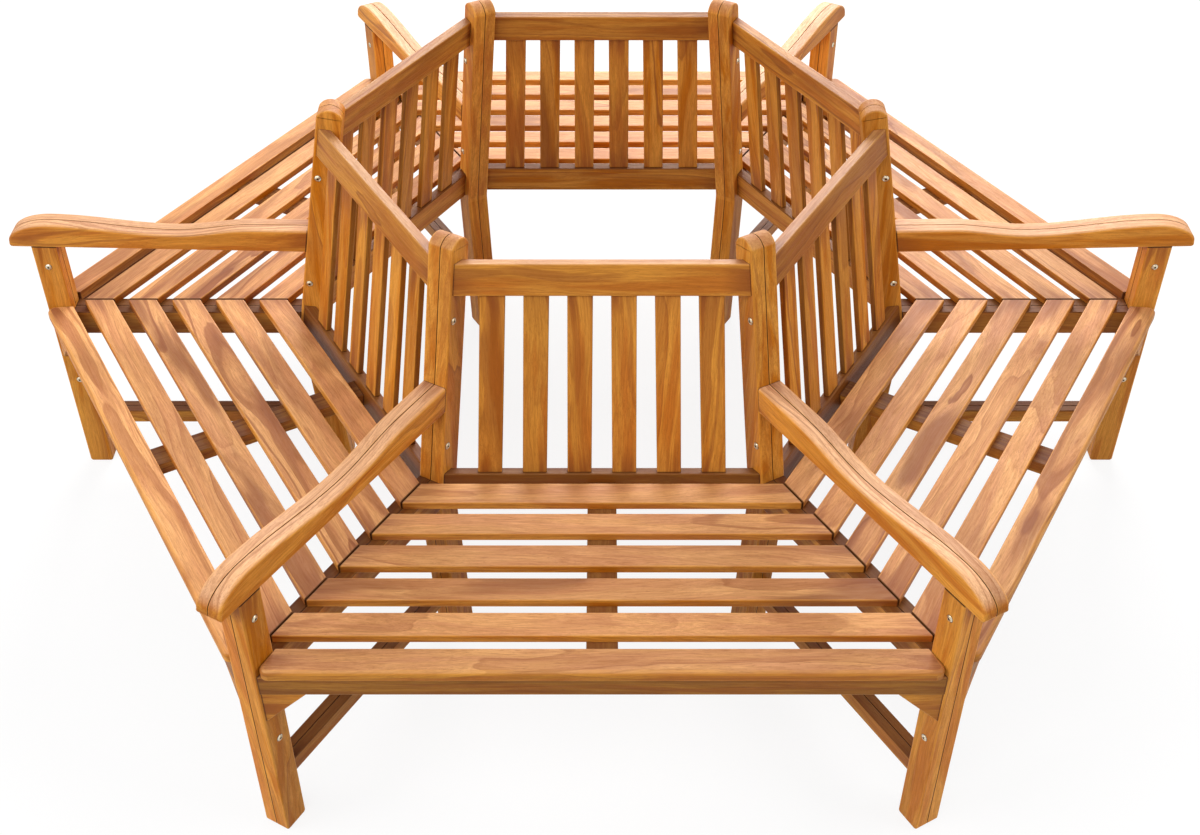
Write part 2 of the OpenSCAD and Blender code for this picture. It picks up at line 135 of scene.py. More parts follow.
# How far the edges are rounded: those underneath, those at a seam, and those of each kind.
UNDER_EASE, SEAM_EASE = 1.5 * MM, 1.5 * MM
BOARD_EASE, SLAT_EASE, APRON_EASE, BRACKET_EASE = 1.8 * MM, 2.4 * MM, 2.0 * MM, 1.8 * MM
RAIL_EASE, BACK_SLAT_EASE = 2.5 * MM, 2.0 * MM
FRAME_EASE, ARM_TOP_EASE, LEVEL_EASE, MID_BEARER_EASE = 3.0 * MM, 5 * MM, 2 * MM, 1.5 * MM

# Radii of the corners of cut ends, of the feet, and of the bend at a post's knee.
BOARD_END, SLAT_END, CUT_END, SHARP = 1.2 * MM, 0.8 * MM, 0.5 * MM, 0.4 * MM
FOOT_RADIUS, KNEE_RADIUS = 6.0 * MM, 40 * MM

KNEE = SLAT_LOW - BEARER_HEIGHT


def radius_at(apothem, offset):
    """Radius, beside a corner, of a line at this distance from the centre and this side offset."""
    return (apothem - offset * sin(HALF)) / cos(HALF)


def half_length(apothem, offset):
    """Half the length of a line at this distance from the centre, between two corner planes."""
    return (apothem * sin(HALF) - offset) / cos(HALF)


POST_EDGE = SEAT_IN - BACK_GAP
POST_OUT = radius_at(POST_EDGE, FRAME_THICK)
POST_ACROSS = POST_DEPTH / cos(LEAN)
PANEL_LEAN = atan(tan(LEAN) * cos(HALF))


def post_face(z):
    """Radius of a post's outer face at a height: leaning above the knee, raked below it."""
    z = np.asarray(z, float)
    knee = POST_OUT - (KNEE - SEAT_TOP) * tan(LEAN)
    return np.where(z >= KNEE, POST_OUT - (z - SEAT_TOP) * tan(LEAN), knee - (KNEE - z) * tan(RAKE))


def arm_under(r):
    """Height of an arm's underside at a radius."""
    return ARM_UNDER + (np.asarray(r, float) - LEG_OUT) * tan(ARM_RISE)


# ---- surfaces ----------------------------------------------------------------------------

def unit(v):
    return v / np.linalg.norm(v)


def outward(along):
    """The normal on the right of a direction: outwards, as outlines run anticlockwise."""
    return np.stack([along[..., 1], -along[..., 0]], -1)


def part(points, normals, pull, ease, rounded=0.0):
    """Rows of an outline: place (2), normal (2), pull (2), ease, round.

    pull is how far and which way a point is drawn in for each unit of rounding.
    """
    one = np.ones(len(points))
    return np.column_stack([points, normals, pull, one * ease, one * rounded])


def corner(before, at, after, radius, ease, shares=(1, 1)):
    """One rounded corner of an outline.

    Its points are centre + radius * normal, with the normal turned from one edge's to the
    other's. A wide corner is drawn in along its normals. A tight one slides as a whole, so
    that its two edges are drawn in by their shares: 1 for a rounded edge, 0 for a cut end
    that stands against another piece.
    """
    before, at, after = (np.asarray(p, float) for p in (before, at, after))
    u, v = unit(at - before), unit(after - at)
    turn = np.arctan2(u[0] * v[1] - u[1] * v[0], u @ v)
    side, n = np.sign(turn), outward(u)
    centre = at - u * radius * tan(abs(turn) / 2) - side * radius * n
    a = np.r_[0, np.linspace(0, turn, ROUND_POINTS), turn]
    normals = np.stack([n[0] * np.cos(a) - n[1] * np.sin(a), n[0] * np.sin(a) + n[1] * np.cos(a)], 1)
    points = centre + side * radius * normals
    points[0] -= u * GUARD
    points[-1] += v * GUARD
    pull = normals
    if side > 0 and (radius < ease + GUARD or min(shares) < 1):
        pull = np.tile(np.linalg.solve([n, outward(v)], shares), (len(a), 1))
    return part(points, normals, pull, ease, np.r_[0, np.ones(ROUND_POINTS), 0])


def stretch(points, ease):
    """A smooth stretch of an outline, with its normals square to its central differences."""
    along = np.gradient(np.asarray(points, float), axis=0)
    normals = outward(along / np.linalg.norm(along, axis=1)[:, None])
    return part(points, normals, normals, ease)


def straight(start, end, ease):
    """The two ends of a straight edge, so that shading stays flat between them."""
    along = unit(end - start) * GUARD
    return stretch([start + along, end - along], ease)


def outline(corners, radii, ease, shares=1):
    """A polygon with rounded corners: ease is per corner, shares are per edge that leaves one."""
    count = len(corners)
    radii, ease, shares = (np.broadcast_to(v, count) for v in (radii, ease, shares))
    return np.vstack([corner(corners[i - 1], corners[i], corners[(i + 1) % count], radii[i], ease[i],
                             (shares[i - 1], shares[i])) for i in range(count)])


def plate(line, low, high, ease_low=None):
    """A flat board: the outline at heights from low to high, drawn in by ease * (1 - sin t)
    at ease * (1 - cos t) from each face, for t from 0 to 90 degrees.

    Returns rings of places (rings, points, 3), the masks of rounded edges and of the lower
    edge's hollow, and how far each point faces along each axis of the outline.
    """
    t = np.linspace(0, pi / 2, ROUND_POINTS)[:, None]
    top = line[:, 6][None, :]
    bottom = top if ease_low is None else np.full_like(top, ease_low)
    inset = np.vstack([bottom + GUARD, bottom * (1 - np.sin(t)), 0 * top,
                       0 * top, (top * (1 - np.sin(t)))[::-1], top + GUARD])
    height = np.vstack([low + 0 * top, low + bottom * (1 - np.cos(t)), low + bottom + GUARD,
                        high - top - GUARD, (high - top * (1 - np.cos(t)))[::-1], high + 0 * top])
    places = np.dstack([line[:, 0] - line[:, 4] * inset, line[:, 1] - line[:, 5] * inset, height])
    round_row = np.r_[0, np.ones(ROUND_POINTS), 0, 0, np.ones(ROUND_POINTS), 0][:, None]
    side_row = np.vstack([[0], np.sin(t), [1], [1], np.sin(t)[::-1], [0]])
    hollow_row = np.vstack([[1], np.cos(t), np.zeros((len(t) + 3, 1))])
    edge = np.maximum(round_row + 0 * top, side_row * line[:, 7])
    return places, edge, hollow_row + 0 * top, side_row * np.abs(line[:, 2:4].T)[:, None, :]


def from_end(line, places, grain, sign, hidden):
    """Distance of each place from the line's end edge on one side, less the part let in.

    A free end, with hidden None, is set a metre off.
    """
    if hidden is None:
        return np.ones(places.shape[:2])
    flat = line[line[:, 7] == 0]
    facing = flat[sign * flat[:, 2 + grain] > 0.5]
    last = facing[np.argmax(sign * facing[:, grain])]
    return (last[:2] - places[..., :2]) @ last[2:4] - hidden


def board(line, low, high, placing, tone, grain=1, ease_low=None, warp=None, seam=False,
          figure=1.0, joints=(0, 0), sun=1.0, edge_shading=0.0):
    """A plate of wood put in place, with the figure's own coordinates.

    placing is (origin, axes); grain is the outline's axis (0 or 1) that the wood runs along; warp
    bends the plate's own coordinates before it is placed; seam marks the lower edges as those of a
    seam between two halves; joints says how deep each end is let into its neighbour, or None for a
    free end. The board's lightness, its heartwood, and the light and shade painted on its long edges
    and on its faces that look up are set as in LOOKS.
    """
    places, edge, hollow, end = plate(line, low, high, ease_low)
    ends = [from_end(line, places, grain, sign, hidden) for sign, hidden in zip((-1, 1), joints)]
    if warp is not None:
        places = warp(places)
    origin, axes = placing
    middle = places.reshape(-1, 3).mean(0)
    own = (places - middle)[..., [grain, 1 - grain, 2]]
    # Light and shade painted on the long edges are added to the tone.
    return {"places": origin + places @ axes, "turned": np.linalg.det(axes) < 0, "own": own,
            "edge": edge, "end": end[grain] ** 3, "seam": hollow * seam,
            "tone": tone + edge_shading * end[1 - grain] ** 3,
            "figure": figure, "ends": np.stack([*ends, sun + 0 * edge], -1)}


# Each board is cut at its own place in a log: seeded, so that every run gives the same bench.
logs = np.random.default_rng(61)

# The range of its distance from the pith in millimetres and of its place along the log in
# metres, and how much its turn, its two slopes and its lightness vary.
PITH_AWAY, LOG_REACH = (35, 120), 40
TURN_SPREAD, TILT_SPREAD, SWING_SPREAD, TONE_SPREAD = 0.35, 0.030, 0.022, 0.5


def in_log(own):
    """The board's coordinates in its log, whose pith is the X axis.

    The board is set off from the pith mostly square to its face, turned and tilted a little,
    which gives long arches on its face and straight lines on its edges.
    """
    away = logs.uniform(*PITH_AWAY) * MM
    face = logs.choice([-1, 1]) * (pi / 2) + logs.normal(0, TURN_SPREAD)
    tilt, swing = logs.normal(0, TILT_SPREAD), logs.normal(0, SWING_SPREAD)
    x, y, z = own[..., 0], own[..., 1], own[..., 2]
    return np.stack([x + logs.uniform(-LOG_REACH, LOG_REACH),
                     y + away * cos(face) + swing * x,
                     z + away * sin(face) + tilt * x], -1)


def rings_to_faces(rings, points, turned, start):
    """Quads between neighbouring rings, and one flat face over each end."""
    k = np.arange(rings - 1)[:, None] * points
    i = np.arange(points)[None, :]
    j = (i + 1) % points
    quads = np.stack([k + i, k + j, k + points + j, k + points + i], -1).reshape(-1, 4) + start
    caps = [np.arange(points)[::-1] + start, np.arange(points) + (rings - 1) * points + start]
    if turned:
        quads, caps = quads[:, ::-1], [c[::-1] for c in caps]
    return quads.tolist() + [c.tolist() for c in caps]


def finish_mesh(name, node, places, faces, attributes, material):
    """Puts the arrays into a mesh that stands for a node and rides with the bench."""
    mesh = bpy.data.meshes.new(name)
    mesh.from_pydata(places.tolist(), [], faces)
    for label, values in attributes.items():
        layer = mesh.attributes.new(label, "FLOAT_VECTOR", "POINT")
        layer.data.foreach_set("vector", np.ascontiguousarray(values, np.float32).ravel())
    mesh.shade_smooth()
    mesh.set_sharp_from_angle(angle=SHARP_ANGLE)
    mesh.materials.append(material)
    piece = bpy.data.objects.new(name, mesh)
    bpy.context.scene.collection.objects.link(piece)
    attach(piece, "root")
    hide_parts(node)


def wooden(node, boards):
    """One piece of the looks from all the boards of a node.

    It carries four vectors: grain, the place in the log; cut, the edge, end and seam masks; tone, the
    board's lightness with the light and shade painted on its long edges, its redness and its share of
    dark heartwood; and ends, the distance from each of the board's ends and how much light is painted
    on its faces that look up.
    """
    places, faces, grain, cut, tone, ends, start = [], [], [], [], [], [], 0
    for b in boards:
        rings, points = b["places"].shape[:2]
        faces += rings_to_faces(rings, points, b["turned"], start)
        start += rings * points
        places.append(b["places"].reshape(-1, 3))
        grain.append(in_log(b["own"]).reshape(-1, 3))
        cut.append(np.stack([b["edge"], b["end"], b["seam"]], -1).reshape(-1, 3))
        light = b["tone"] + logs.normal(0, TONE_SPREAD)
        red, heart = logs.uniform(0, 1), logs.uniform(0, 1) * b["figure"]
        shades = [light, np.full_like(light, red), np.full_like(light, heart)]
        tone.append(np.stack(shades, -1).reshape(-1, 3))
        ends.append(b["ends"].reshape(-1, 3))
    attributes = {"grain": np.vstack(grain), "cut": np.vstack(cut), "tone": np.vstack(tone),
                  "ends": np.vstack(ends)}
    finish_mesh(node + "_finished", node, np.vstack(places), faces, attributes, TEAK)


# ---- placings ----------------------------------------------------------------------------

UP = np.array([0.0, 0.0, 1.0])
GROUND = np.zeros(3)


def directions(angle):
    """Outward and anticlockwise unit vectors at an angle round the tree."""
    return np.array([cos(angle), sin(angle), 0]), np.array([-sin(angle), cos(angle), 0])


def seat_angle(i):
    return -pi / 2 + 2 * HALF * (i - 1)


def corner_angle(i):
    return 2 * HALF * (i - 1)


def in_plan(i):
    """Seat i, flat: outward, along the seat, up."""
    out, along = directions(seat_angle(i))
    return GROUND, np.array([out, along, UP])


def in_front(i):
    """Seat i, seen from outside: along the seat, up, outward."""
    out, along = directions(seat_angle(i))
    return GROUND, np.array([along, UP, out])


def in_panel(i):
    """The leaning back of seat i: along the seat, up the back, outward from the posts' edges."""
    out, along = directions(seat_angle(i))
    lean_out = cos(PANEL_LEAN) * out + sin(PANEL_LEAN) * UP
    lean_up = cos(PANEL_LEAN) * UP - sin(PANEL_LEAN) * out
    return POST_EDGE * out + SEAT_TOP * UP, np.array([along, lean_up, lean_out])


def in_half(i, side):
    """A half frame at corner i: radius, height, and the distance from the seam on one side."""
    out, along = directions(corner_angle(i))
    return GROUND, np.array([out, UP, side * along])


# ---- the looks of each kind of board -----------------------------------------------------

# tone is a board's lightness. Its edge setting is light and shade painted on its long edges: lighter
# on the legs' outer and inner faces, darker on the rails' upper and lower edges, much darker in the
# gaps between back slats, and a little darker on the front board's front and back. figure is the
# strength of its dark heartwood. Its top setting is light painted on its faces that look up: a pale
# sheen where it is high, and a dark shade where it is low, down to 0 for a board in shelter.
LOOKS = {
    "front board": {"tone": -0.8, "edge_shading": -0.2, "figure": 0.85},
    "seat slat": {"tone": -1.2},
    # The apron's low tone is painted shade, under the front board's overhang.
    "apron": {"tone": -4.8, "figure": 0.5},
    "bracket": {"tone": -1.0, "figure": 0.5},
    "top rail": {"tone": -2.4, "edge_shading": -0.9, "figure": 0.6, "sun": 0.8},
    "lower rail": {"tone": -1.6, "edge_shading": -0.9, "figure": 0.6, "sun": 0.0},
    # Painted shade in the gaps between the back slats.
    "back slat": {"tone": -1.0, "edge_shading": -5.0, "figure": 0.7},
    # Painted light on the legs' outer and inner faces.
    "leg": {"tone": -0.6, "edge_shading": 1.8, "figure": 0.4},
    "post": {"tone": -0.7, "figure": 0.4},
    "arm": {"tone": -0.6, "figure": 0.4, "sun": 2.1},
    # The bearers' low tones are painted shade, under the seat.
    "side bearer": {"tone": -3.0, "figure": 0.5, "sun": 0.0},
    "middle bearer": {"tone": -3.0, "figure": 0.5, "sun": 0.3},
    "stretcher": {"tone": -2.2, "figure": 0.5, "sun": 0.0},
}

# ---- the seat's boards -------------------------------------------------------------------

def front_board(i):
    """A trapezoid with rounded front corners and a round upper nose."""
    front, back = half_length(SEAT_FRONT, FRAME_THICK), half_length(BOARD_IN, FRAME_THICK)
    line = outline([[BOARD_IN, -back], [SEAT_FRONT, -front], [SEAT_FRONT, front], [BOARD_IN, back]],
                   [BOARD_END, BOARD_CORNER, BOARD_CORNER, BOARD_END],
                   [BOARD_EASE, BOARD_NOSE, BOARD_NOSE, BOARD_EASE])
    return board(line, BOARD_LOW, SEAT_TOP, in_plan(i), ease_low=UNDER_EASE, **LOOKS["front board"])


def seat_slats(i):
    """Trapezoids between the two mitres."""
    end = MITRE_GAP / 2
    boards = []
    for k in range(SLAT_COUNT):
        out = SLAT_OUT - k * SLAT_PITCH
        inner = out - SLAT_WIDTH
        line = outline([[inner, -half_length(inner, end)], [out, -half_length(out, end)],
                        [out, half_length(out, end)], [inner, half_length(inner, end)]],
                       SLAT_END, SLAT_EASE, [0.5, 1, 0.5, 1])
        boards.append(board(line, SLAT_LOW, SEAT_TOP, in_plan(i), ease_low=UNDER_EASE,
                            **LOOKS["seat slat"]))
    return boards


def front_apron(i):
    """A board on edge under the front board, between the legs."""
    out, inner = half_length(APRON_OUT, FRAME_THICK), half_length(APRON_IN, FRAME_THICK)
    line = outline([[APRON_IN, -inner], [APRON_OUT, -out], [APRON_OUT, out], [APRON_IN, inner]],
                   CUT_END, APRON_EASE, [0, 1, 0, 1])
    return board(line, APRON_LOW, BOARD_LOW, in_plan(i), **LOOKS["apron"])


def apron_bracket(i, side):
    """A triangle under the apron, whose end follows the leg's side face."""
    face = APRON_OUT - BRACKET_BACK
    end = half_length(face, FRAME_THICK)
    corners = [[end - BRACKET_LENGTH, APRON_LOW], [end, APRON_LOW - BRACKET_DROP], [end, APRON_LOW]]
    line = outline(corners, CUT_END, BRACKET_EASE, [1, 0, 0])

    def along_leg(p):
        return p + (p[..., 2:] - face) * [tan(HALF), 0, 0]

    origin, axes = in_front(i)
    return board(line, face - BRACKET_THICK, face, (origin, axes * [[side], [1], [1]]),
                 grain=0, warp=along_leg, joints=(None, 0), **LOOKS["bracket"])


# ---- the backs ---------------------------------------------------------------------------

def up_panel(z):
    """The place up the leaning panel that lies at a height."""
    return (z - SEAT_TOP) / cos(PANEL_LEAN)


TOP_RAIL_TOP = up_panel(POST_TOP - TOP_RAIL_DROP)
TOP_RAIL_LOW = TOP_RAIL_TOP - TOP_RAIL_HEIGHT
LOWER_RAIL_TOP = up_panel(SEAT_TOP + LOWER_RAIL_RISE)
LOWER_RAIL_LOW = LOWER_RAIL_TOP - LOWER_RAIL_HEIGHT


def panel_half(up, out=0.0):
    """Half the clear width between the posts at a place up the panel and out from its face."""
    return half_length(POST_EDGE - up * sin(PANEL_LEAN) + out * cos(PANEL_LEAN), FRAME_THICK)


def between_posts(p):
    """Stretches a rail's length to the clear width at each of its points."""
    scale = panel_half(p[..., 1], p[..., 2]) / panel_half(0)
    return np.stack([p[..., 0] * scale, p[..., 1], p[..., 2]], -1)


def rail(kind, i, low, high):
    """A rail of the back of seat i, between two places up the panel."""
    end = panel_half(0)
    corners = [[-end, low], [end, low], [end, high], [-end, high]]
    line = outline(corners, CUT_END, RAIL_EASE, [1, 0, 1, 0])
    return board(line, -RAIL_RECESS - RAIL_THICK, -RAIL_RECESS, in_panel(i), grain=0,
                 warp=between_posts, **LOOKS[kind])


def back_slats(i):
    """Slats that spread a little towards the lower rail."""
    low, high = LOWER_RAIL_TOP - HOUSING, TOP_RAIL_LOW + HOUSING
    half = BACK_SLAT_WIDTH / 2
    span_low = panel_half(LOWER_RAIL_TOP) - END_GAP_LOW - half
    span_high = panel_half(TOP_RAIL_LOW) - END_GAP_HIGH - half
    back = -RAIL_RECESS - (RAIL_THICK + BACK_SLAT_THICK) / 2
    boards = []
    for share in np.linspace(-1, 1, BACK_SLAT_COUNT):
        a, b = share * span_low, share * span_high
        line = outline([[a - half, low], [a + half, low], [b + half, high], [b - half, high]],
                       CUT_END, BACK_SLAT_EASE, [0, 1, 0, 1])
        boards.append(board(line, back, back + BACK_SLAT_THICK, in_panel(i),
                            joints=(HOUSING, HOUSING), **LOOKS["back slat"]))
    return boards


# ---- the half frames ---------------------------------------------------------------------

def half_board(kind, line, i, side, thick=FRAME_THICK, **settings):
    """A board of the half frame on one side of corner i, from the seam out to its thickness."""
    return board(line, SEAM, thick, in_half(i, side), ease_low=SEAM_EASE, seam=True,
                 **settings, **LOOKS[kind])


def half_leg(i, side):
    """A straight leg from the ground to the arm's rising underside."""
    corners = [[LEG_IN, 0], [LEG_OUT, 0], [LEG_OUT, arm_under(LEG_OUT)], [LEG_IN, arm_under(LEG_IN)]]
    line = outline(corners, [FOOT_RADIUS, FOOT_RADIUS, SHARP, SHARP], FRAME_EASE, [1, 1, 0, 1])
    return half_board("leg", line, i, side, joints=(None, 0))


def half_post(i, side):
    """A post that bends at its knee and ends in an arc over its leaning upper part."""
    head = POST_TOP - HEAD_RADIUS
    centre = np.array([post_face(head) - POST_ACROSS / 2, head])
    half = np.arcsin(POST_DEPTH / 2 / HEAD_RADIUS)
    b = np.linspace(half, -half, HEAD_POINTS)
    arc = centre + HEAD_RADIUS * np.stack([np.sin(b) * cos(LEAN) - np.cos(b) * sin(LEAN),
                                           np.sin(b) * sin(LEAN) + np.cos(b) * cos(LEAN)], 1)
    foot, foot_in = np.array([post_face(0), 0]), np.array([post_face(0) - POST_ACROSS, 0])
    knee, knee_in = np.array([post_face(KNEE), KNEE]), np.array([post_face(KNEE) - POST_ACROSS, KNEE])
    line = np.vstack([
        corner(knee_in, foot_in, foot, FOOT_RADIUS, FRAME_EASE),
        corner(foot_in, foot, knee, FOOT_RADIUS, FRAME_EASE),
        corner(foot, knee, arc[0], KNEE_RADIUS, FRAME_EASE),
        straight(knee, arc[0], FRAME_EASE)[1:],
        stretch(arc, FRAME_EASE),
        straight(arc[-1], knee_in, FRAME_EASE)[:1],
        corner(arc[-1], knee_in, foot_in, KNEE_RADIUS, FRAME_EASE),
    ])
    return half_board("post", line, i, side, joints=(None, None))


def arm_line():
    """An arm's outline: a straight underside, a round tip, and an upper edge in three waves.

    The height above the underside eases by half cosines from the back to the dip and from the
    dip to the crest, then falls as a quarter ellipse to the blunt tip.
    """
    tip, dip, crest = LEG_OUT + ARM_REACH, LEG_OUT - ARM_DIP_PLACE, LEG_OUT - ARM_CREST_PLACE
    u = np.linspace(0, 1, WAVE_POINTS)
    wave = (1 - np.cos(pi * u)) / 2
    nose_r = crest + (tip - crest) * np.sin(pi / 2 * u)
    nose_h = ARM_TIP + (ARM_CREST - ARM_TIP) * np.cos(pi / 2 * u)
    r = np.r_[nose_r[::-1], (dip + (crest - dip) * u)[::-1][1:],
              (dip - ARM_FALL + ARM_FALL * u)[::-1][1:]]
    h = np.r_[nose_h[::-1], (ARM_DIP + (ARM_CREST - ARM_DIP) * wave)[::-1][1:],
              (ARM_BACK + (ARM_DIP - ARM_BACK) * wave)[::-1][1:]]
    upper = np.stack([r, arm_under(r) + h], 1)
    low, high = float(arm_under(POST_OUT)), float(arm_under(POST_OUT)) + ARM_BACK
    back, back_top = np.array([post_face(low), low]), np.array([post_face(high), high])
    tip_low, tip_high = np.array([tip, arm_under(tip)]), np.array([tip, arm_under(tip) + ARM_TIP])
    return np.vstack([
        corner(back_top, back, tip_low, SHARP, FRAME_EASE, (0, 1)),
        corner(back, tip_low, tip_high, ARM_TIP_RADIUS, FRAME_EASE),
        stretch(upper, ARM_TOP_EASE),
        corner(upper[-1], back_top, back, SHARP, ARM_TOP_EASE, (1, 0)),
    ])


def half_arm(i, side):
    """An arm from the post's face over the leg to its free tip."""
    return half_board("arm", arm_line(), i, side, grain=0, joints=(0, None))


def level_line(low, high):
    """A level piece between leg and post; its inner end follows the post's face."""
    corners = [[float(post_face(low)), low], [LEG_IN, low],
               [LEG_IN, high], [float(post_face(high)), high]]
    return outline(corners, SHARP, LEVEL_EASE, [1, 0, 1, 0])


def side_bearer(i, side):
    """The piece under the slats' ends."""
    return half_board("side bearer", level_line(KNEE, SLAT_LOW), i, side, grain=0)


def stretcher(i, side):
    """The thin piece between leg and post near the ground."""
    return half_board("stretcher", level_line(STRETCHER_LOW, STRETCHER_HIGH), i, side,
                      thick=STRETCHER_THICK, grain=0)


def mid_bearer(i):
    """A level piece from the lower rail to the apron, notched under the front board."""
    low = SLAT_LOW - MID_BEARER_THICK

    def rail_face(z):
        return POST_EDGE - (z - SEAT_TOP) * tan(PANEL_LEAN) - RAIL_RECESS

    notch = BOARD_IN - NOTCH_GAP
    corners = [[rail_face(low), low], [APRON_IN, low], [APRON_IN, BOARD_LOW], [notch, BOARD_LOW],
               [notch, SLAT_LOW], [rail_face(SLAT_LOW), SLAT_LOW]]
    line = outline(corners, SHARP, MID_BEARER_EASE, [1, 0, 0, 0, 1, 0])
    out, along = directions(seat_angle(i))
    half = MID_BEARER_WIDTH / 2
    return board(line, -half, half, (GROUND, np.array([out, UP, along])), grain=0,
                 **LOOKS["middle bearer"])


# ---- bolts and sleeve nuts ---------------------------------------------------------------

def profile(shank_radius, shank_length):
    """Rows from the shank's end, under and over the domed head, to the bottom of its socket.

    Each row is a radius, a height, how hexagonal the fastener is there, and its painted shade.
    """
    rim, socket = HEAD_WIDTH / 2, SOCKET_WIDTH / 2
    sphere = (rim ** 2 + HEAD_HEIGHT ** 2) / (2 * HEAD_HEIGHT)
    dome = np.zeros((DOME_POINTS, 4))
    dome[:, 0] = np.linspace(rim, socket * 1.35, DOME_POINTS)
    dome[:, 1] = np.sqrt(sphere ** 2 - dome[:, 0] ** 2) + HEAD_HEIGHT - sphere
    dome[0, 1] = 0.2 * MM
    dome[-1, 2] = 0.3
    # Painted shade at the head's rim, where it meets the wood.
    dome[:2, 3] = 1, 0.5
    top = dome[-1, 1]
    return np.vstack([
        [0.2 * shank_radius, -shank_length, 0, 1],
        [0.85 * shank_radius, -shank_length, 0, 1],
        [shank_radius, 0.5 * MM - shank_length, 0, 1],
        [shank_radius, -GUARD, 0, 1],
        [rim - 0.3 * MM, 0, 0, 1],
        dome,
        [socket * 1.1, top - 0.05 * MM, 0.8, 0],
        [socket, top - 0.5 * MM, 1, 0.6],
        [socket, HEAD_HEIGHT / 2, 1, 1],
        [socket * 0.1, HEAD_HEIGHT / 2, 1, 1],
    ])


def turned_metal(rows):
    """A profile turned about its axis: a surface of place along the profile and turn.

    Where a row is hexagonal its radius grows from the flats to the corners, by 1 / cos(turn).
    """
    r, z, hexagonal = rows[:, 0, None], rows[:, 1, None], rows[:, 2, None]
    turn = np.arange(TURN_POINTS) * 2 * pi / TURN_POINTS
    half = pi / 6
    grown = 1 / np.cos((turn + half) % (2 * half) - half)
    radius = r * (1 + hexagonal * (grown - 1))
    return np.dstack([radius * np.cos(turn), radius * np.sin(turn), z + 0 * turn])


def bolt_places():
    """Radius and height of the four bolts of a corner."""
    leg = (LEG_IN + LEG_OUT) / 2
    posts = [(float(post_face(z)) - POST_BOLT_IN, z) for z in POST_BOLTS]
    return [(leg, z) for z in LEG_BOLTS] + posts


def fasteners(node, side, shank_radius, shank_length):
    """All the fasteners of one kind, on one side of every corner's half frames."""
    rows = profile(shank_radius, shank_length)
    rings = turned_metal(rows)
    places, faces, start = [], [], 0
    for i in EACH:
        out, along = directions(corner_angle(i))
        across = [UP, out] if side > 0 else [out, UP]
        axes = np.array([*across, side * along])
        for r, z in bolt_places():
            origin = r * out + z * UP + side * FRAME_THICK * along
            places.append((origin + rings @ axes).reshape(-1, 3))
            faces += rings_to_faces(*rings.shape[:2], np.linalg.det(axes) < 0, start)
            start += rings.shape[0] * rings.shape[1]
    # The painted shade of each row, for every turn of every fastener.
    shade_rows = np.repeat(rows[:, 3], TURN_POINTS)[:, None] * np.ones(3)
    shade_attribute = {"socket_shade": np.tile(shade_rows, (len(places), 1))}
    finish_mesh(node + "_finished", node, np.vstack(places), faces, shade_attribute, STEEL)


# ---- materials ---------------------------------------------------------------------------

def srgb(red, green, blue):
    """A colour given as seen, 0 to 255, as the shader's linear values."""
    c = np.array([red, green, blue]) / 255
    return (*np.where(c <= 0.04045, c / 12.92, ((c + 0.055) / 1.055) ** 2.4), 1.0)


class Nodes:
    """Adds nodes to a tree; an input is a value or another node's output."""

    def __init__(self, tree):
        self.tree = tree

    def add(self, kind, inputs=(), **settings):
        """A new node of a kind, with its settings made and its inputs set or linked."""
        node = self.tree.nodes.new(kind)
        for key, value in settings.items():
            setattr(node, key, value)
        for key, value in dict(inputs).items():
            if isinstance(value, bpy.types.NodeSocket):
                self.tree.links.new(value, node.inputs[key])
            else:
                node.inputs[key].default_value = value
        return node

    def math(self, operation, *values):
        return self.add("ShaderNodeMath", enumerate(values), operation=operation).outputs[0]

    def vector(self, operation, *values):
        return self.add("ShaderNodeVectorMath", enumerate(values), operation=operation).outputs[0]

    def scaled(self, vector, amount):
        return self.add("ShaderNodeVectorMath", {0: vector, 3: amount}, operation="SCALE").outputs[0]

    def ramp(self, value, low, high, to_low=0.0, to_high=1.0):
        """A smooth step from one value to another."""
        return self.add("ShaderNodeMapRange", enumerate((value, low, high, to_low, to_high)),
                        interpolation_type="SMOOTHSTEP").outputs[0]

    def noise(self, vector, detail, roughness=0.5):
        """Fractal noise at scale 1, so that the vector sets the size."""
        return self.add("ShaderNodeTexNoise", {"Vector": vector, "Scale": 1.0, "Detail": detail,
                                               "Roughness": roughness})

    def mix(self, factor, one, other):
        """Mixes two colours."""
        node = self.add("ShaderNodeMix", {0: factor, 6: one, 7: other}, data_type="RGBA")
        return node.outputs[2]

    def link(self, output, socket):
        self.tree.links.new(output, socket)


def new_group(name, inputs, outputs):
    """A shader node group: its tree, its nodes, and the sockets of what goes in and out."""
    tree = bpy.data.node_groups.new(name, "ShaderNodeTree")
    for label, kind in inputs.items():
        tree.interface.new_socket(label, in_out="INPUT", socket_type=kind)
    for label, kind in outputs.items():
        tree.interface.new_socket(label, in_out="OUTPUT", socket_type=kind)
    nodes = Nodes(tree)
    return tree, nodes, nodes.add("NodeGroupInput").outputs, nodes.add("NodeGroupOutput").inputs


# Scales of the figure's noises: changes a metre along, across and through the log.
SLOW_BENDS, QUICK_BENDS, CLOUDS = (1.9, 8.0, 8.0), (8.0, 45.0, 45.0), (3.6, 52.0, 52.0)
FIBRES, PORES, WEAR_PATCHES = (13.0, 360.0, 360.0), (60.0, 1300.0, 1300.0), (14.0, 60.0, 60.0)

# The heartwood's streaks: changes a metre along the log, outwards from its pith, and across.
STREAKS_ALONG, STREAKS_OUT, STREAKS_ACROSS = 2.4, 40.0, 14.0

# How far the noises bend the log, in metres, and the middle value that bends it nowhere.
SLOW_REACH, QUICK_REACH, NOISE_MIDDLE = 0.055, 0.006, (0.5, 0.5, 0.5)

# Rings a metre, how many rings the unevenness moves them, and how often it changes a metre.
RING_COUNT, UNEVEN_REACH, UNEVEN_SCALE = 70.0, 3.0, 34.0

